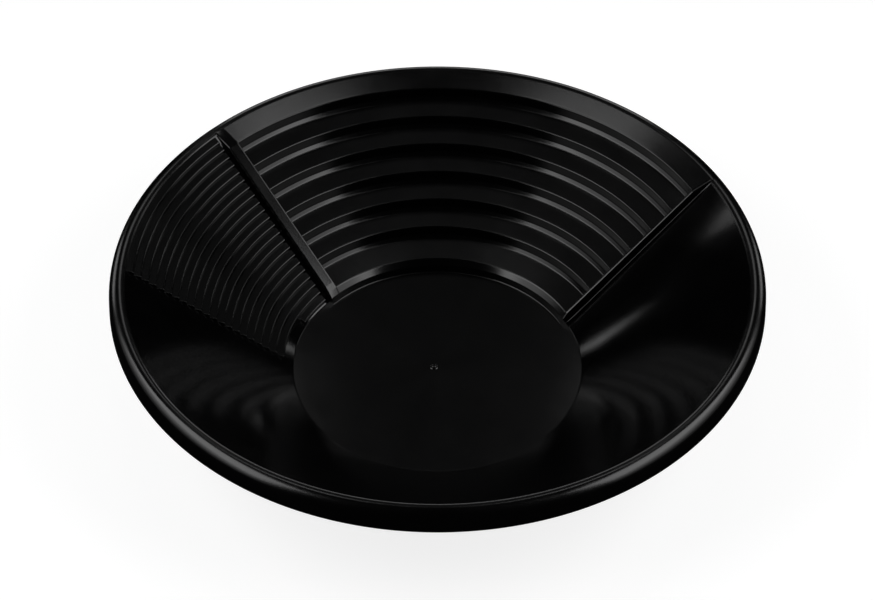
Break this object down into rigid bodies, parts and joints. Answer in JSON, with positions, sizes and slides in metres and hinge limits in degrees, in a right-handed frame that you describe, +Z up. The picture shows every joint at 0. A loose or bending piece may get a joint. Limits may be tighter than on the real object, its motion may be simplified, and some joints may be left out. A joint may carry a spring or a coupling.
{
  "type": "gold pan",
  "caption": "Round black plastic gold pan with a flat floor, a sloping wall carrying coarse and fine riffles, and a rolled rim.",
  "frame": {"origin": "centre of the underside of the floor, on the axis of the pan", "axes": "+Z up along the axis of the pan; +Y towards the middle of the coarse riffle section; the fine riffles lie towards -X"},
  "size_m": [0.3556, 0.3556, 0.0725],
  "materials": {
    "pan_plastic": "satin to gloss moulded black polypropylene"
  },
  "bodies": {
    "root": {"floor_disc": "pan_plastic", "gate_nub": "pan_plastic", "smooth_wall": "pan_plastic", "fine_wall": "pan_plastic", "coarse_collar": "pan_plastic", "coarse_end_rib": "pan_plastic", "divider_bar": "pan_plastic", "rim_bead": "pan_plastic", "rim_skirt": "pan_plastic", "coarse_riffle_1": "pan_plastic", "coarse_riffle_2": "pan_plastic", "coarse_riffle_3": "pan_plastic", "coarse_riffle_4": "pan_plastic", "coarse_riffle_5": "pan_plastic", "coarse_riffle_6": "pan_plastic", "coarse_riffle_7": "pan_plastic", "fine_riffle_01": "pan_plastic", "fine_riffle_02": "pan_plastic", "fine_riffle_03": "pan_plastic", "fine_riffle_04": "pan_plastic", "fine_riffle_05": "pan_plastic", "fine_riffle_06": "pan_plastic", "fine_riffle_07": "pan_plastic", "fine_riffle_08": "pan_plastic", "fine_riffle_09": "pan_plastic", "fine_riffle_10": "pan_plastic", "fine_riffle_11": "pan_plastic", "fine_riffle_12": "pan_plastic", "fine_riffle_13": "pan_plastic", "fine_riffle_14": "pan_plastic", "fine_riffle_15": "pan_plastic", "fine_riffle_16": "pan_plastic", "fine_riffle_17": "pan_plastic", "fine_riffle_18": "pan_plastic", "fine_riffle_19": "pan_plastic", "fine_riffle_20": "pan_plastic", "fine_riffle_21": "pan_plastic", "fine_riffle_22": "pan_plastic"}
  },
  "joints": []
}
